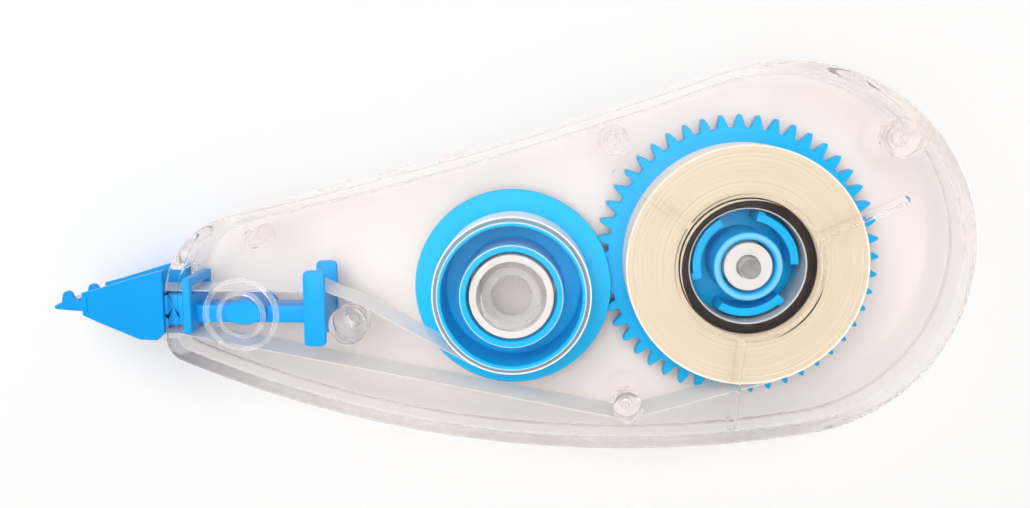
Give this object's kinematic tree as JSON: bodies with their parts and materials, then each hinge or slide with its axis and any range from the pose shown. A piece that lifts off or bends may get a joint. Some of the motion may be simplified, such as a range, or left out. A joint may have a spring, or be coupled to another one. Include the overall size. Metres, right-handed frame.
{
  "type": "correction tape",
  "caption": "Handheld correction tape with a clear teardrop case, a geared supply reel and take-up spool inside, and a wedge applicator head.",
  "frame": {"origin": "middle of the outline's box in X and Y, on the outer face of the rear case half, which the object rests on", "axes": "+X from the applicator tip to the big round end, +Y to the side of the straight edge, +Z out of the front face"},
  "size_m": [0.0878, 0.0368, 0.012],
  "materials": {
    "clear_plastic": "polished clear moulding",
    "blue_plastic": "bright blue moulding, satin",
    "black_plastic": "black moulding, satin",
    "coated_tape": "edges of tightly wound coated film, matt",
    "used_film": "thin translucent backing film"
  },
  "bodies": {
    "case": {"case_rear": "clear_plastic", "case_front": "clear_plastic", "applicator_head": "blue_plastic", "supply_tape_run": "coated_tape", "return_film_run": "used_film"},
    "supply_wheel": {"supply_gear": "blue_plastic"},
    "tape_reel": {"supply_core": "black_plastic", "tape_roll": "coated_tape"},
    "takeup_wheel": {"takeup_spool": "blue_plastic", "takeup_wraps": "used_film"}
  },
  "joints": [
    {"name": "supply_spin", "type": "hinge", "parent": "case", "child": "supply_wheel", "pos_m": [0.02325, -0.0009, 0], "axis": [0, 0, 1], "continuous": true},
    {"name": "clutch_slip", "type": "hinge", "parent": "supply_wheel", "child": "tape_reel", "pos_m": [0.02325, -0.0009, 0], "axis": [0, 0, 1], "continuous": true},
    {"name": "takeup_spin", "type": "hinge", "parent": "case", "child": "takeup_wheel", "pos_m": [0.00066, -0.00395, 0], "axis": [0, 0, 1], "continuous": true}
  ],
  "couplings": [
    {"joint": "takeup_spin", "follows": "supply_spin", "ratio": -1.5}
  ]
}
